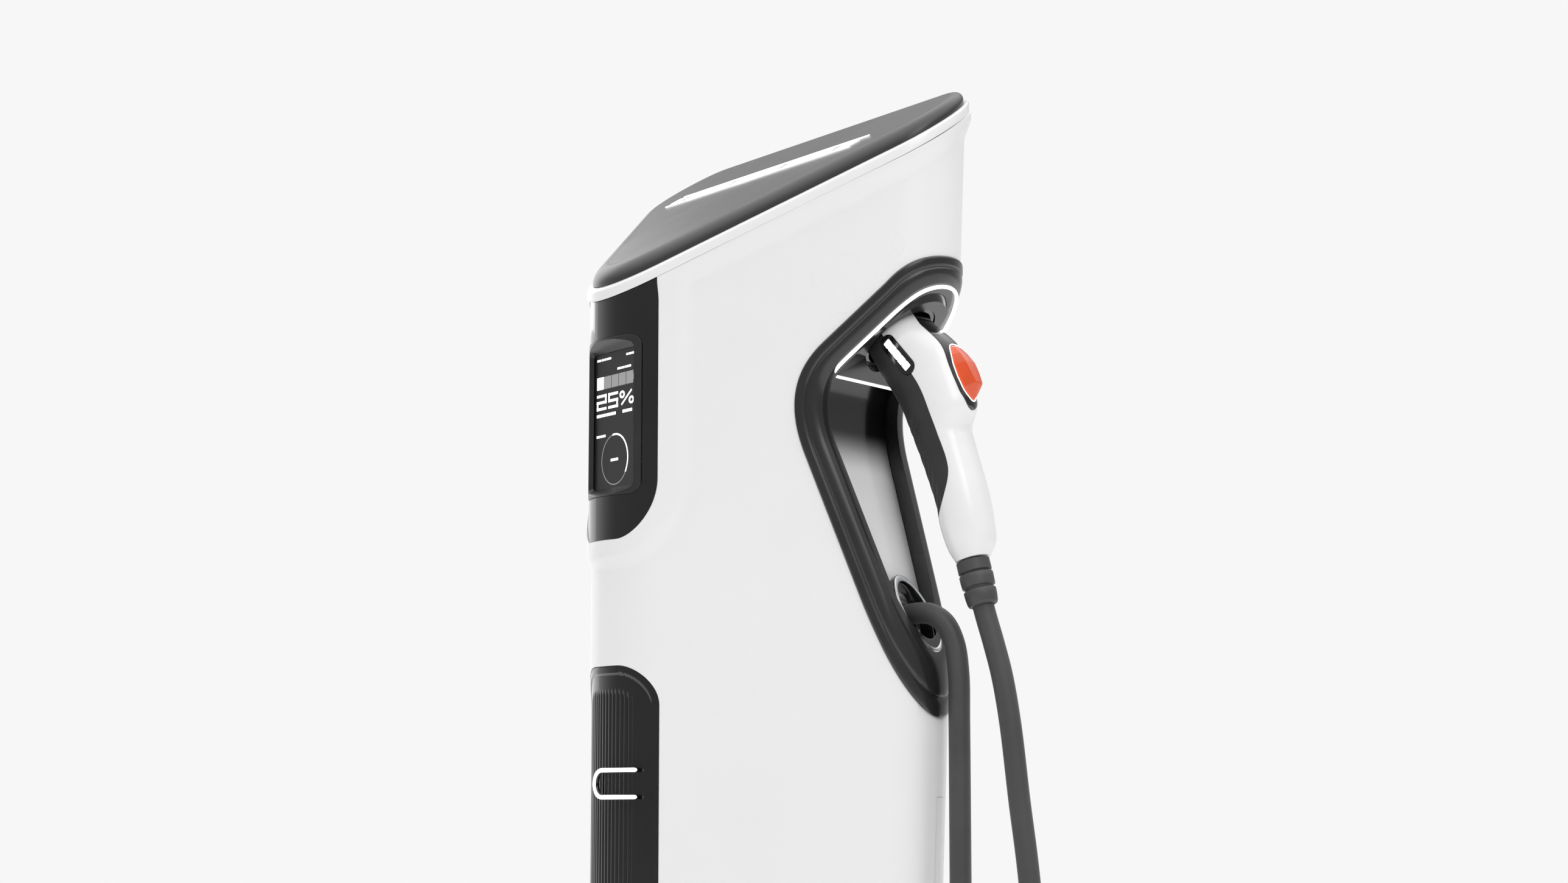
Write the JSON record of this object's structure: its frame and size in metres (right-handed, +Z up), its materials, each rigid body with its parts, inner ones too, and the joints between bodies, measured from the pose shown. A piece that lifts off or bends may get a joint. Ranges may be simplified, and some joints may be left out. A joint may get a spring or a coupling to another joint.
{
  "type": "ev charging post",
  "caption": "Free-standing EV charging post with a rounded three-sided body, sloping cap, black display front, side holster and tethered connector.",
  "frame": {"origin": "on the floor under the middle of the post's own box, measured without the cable and connector", "axes": "+Z up, -Y towards the front with the display, +X towards the side that carries the connector"},
  "size_m": [0.8896, 0.4378, 1.5008],
  "materials": {
    "white_shell": "satin white paint on moulded covers",
    "black_gloss": "polished black",
    "dark_satin": "fine satin texture",
    "cap_grey": "satin powder coat",
    "steel": "brushed",
    "zinc": "galvanised sheet",
    "rubber": "matt cable sheath",
    "light": "lit diffuser",
    "trigger_red": "satin red orange",
    "board": "solder mask",
    "device_grey": "moulded device case"
  },
  "bodies": {
    "post": {"base_plate": "steel", "plinth_ring": "dark_satin", "anchor_bolt_1": "steel", "anchor_bolt_2": "steel", "anchor_bolt_3": "steel", "anchor_bolt_4": "steel", "shell_left": "white_shell", "shell_right": "white_shell", "cap_plate": "cap_grey", "top_rim": "white_shell", "cap_light_bar": "light", "front_panel": "black_gloss", "display_bezel": "dark_satin", "display_glass": "black_gloss", "display_module": "zinc", "card_reader": "board", "door_hinge_pin_low": "steel", "door_hinge_pin_high": "steel", "rear_hinge_pin_low": "steel", "rear_hinge_pin_high": "steel", "holster_frame": "dark_satin", "holster_liner": "black_gloss", "holster_dock": "dark_satin", "dock_light_ring": "light", "holster_socket": "black_gloss", "outlet_sleeve": "black_gloss", "outlet_ring": "steel", "cable_gland": "rubber", "cable_feed": "rubber", "cable_lead": "rubber", "cable_coil": "rubber", "chassis_plate": "zinc", "power_module": "steel", "contactor": "device_grey", "energy_meter": "device_grey", "terminal_block": "device_grey", "controller_board": "board", "fan_housing": "dark_satin"},
    "front_door_body": {"front_door": "black_gloss", "door_light_handle": "light"},
    "rear_door_body": {"rear_door": "white_shell"},
    "rear_lock_body": {"rear_lock_cam": "steel"},
    "connector_body": {"connector_grip": "dark_satin", "connector_shell": "white_shell", "button_surround": "black_gloss", "charge_indicator": "black_gloss", "connector_nose": "dark_satin", "contact_carrier": "rubber", "strain_relief": "rubber"},
    "trigger_body": {"trigger_button": "trigger_red"},
    "latch_body": {"holster_latch_pin": "steel"},
    "fan_body": {"fan_rotor": "device_grey"}
  },
  "joints": [
    {"name": "front_door_hinge", "type": "hinge", "parent": "post", "child": "front_door_body", "pos_m": [-0.0708, -0.1271, 0.5], "axis": [0, 0, -1], "range_deg": [0, 100]},
    {"name": "rear_door_hinge", "type": "hinge", "parent": "post", "child": "rear_door_body", "pos_m": [-0.1502, 0.1307, 0.4], "axis": [0, 0.0245, 0.9997], "range_deg": [0, 110]},
    {"name": "rear_lock_turn", "type": "hinge", "parent": "rear_door_body", "child": "rear_lock_body", "pos_m": [0, 0.13504, 0.72], "axis": [0, 1, 0], "range_deg": [0, 90]},
    {"name": "connector_pull", "type": "slide", "parent": "post", "child": "connector_body", "axis": [0.5549, 0.2175, -0.803], "range_m": [0, 0.075], "deforming": ["cable_lead"]},
    {"name": "trigger_press", "type": "slide", "parent": "connector_body", "child": "trigger_body", "axis": [-0.8777, -0.3439, -0.3338], "range_m": [0, 0.003], "stiffness_N_per_m": 1500, "springref_m": -0.001},
    {"name": "latch_extend", "type": "slide", "parent": "post", "child": "latch_body", "axis": [-0.3649, 0.9311, 0], "range_m": [0, 0.004], "stiffness_N_per_m": 400},
    {"name": "fan_spin", "type": "hinge", "parent": "post", "child": "fan_body", "pos_m": [0, 0.022, 0.58], "axis": [0, 1, 0], "continuous": true}
  ]
}
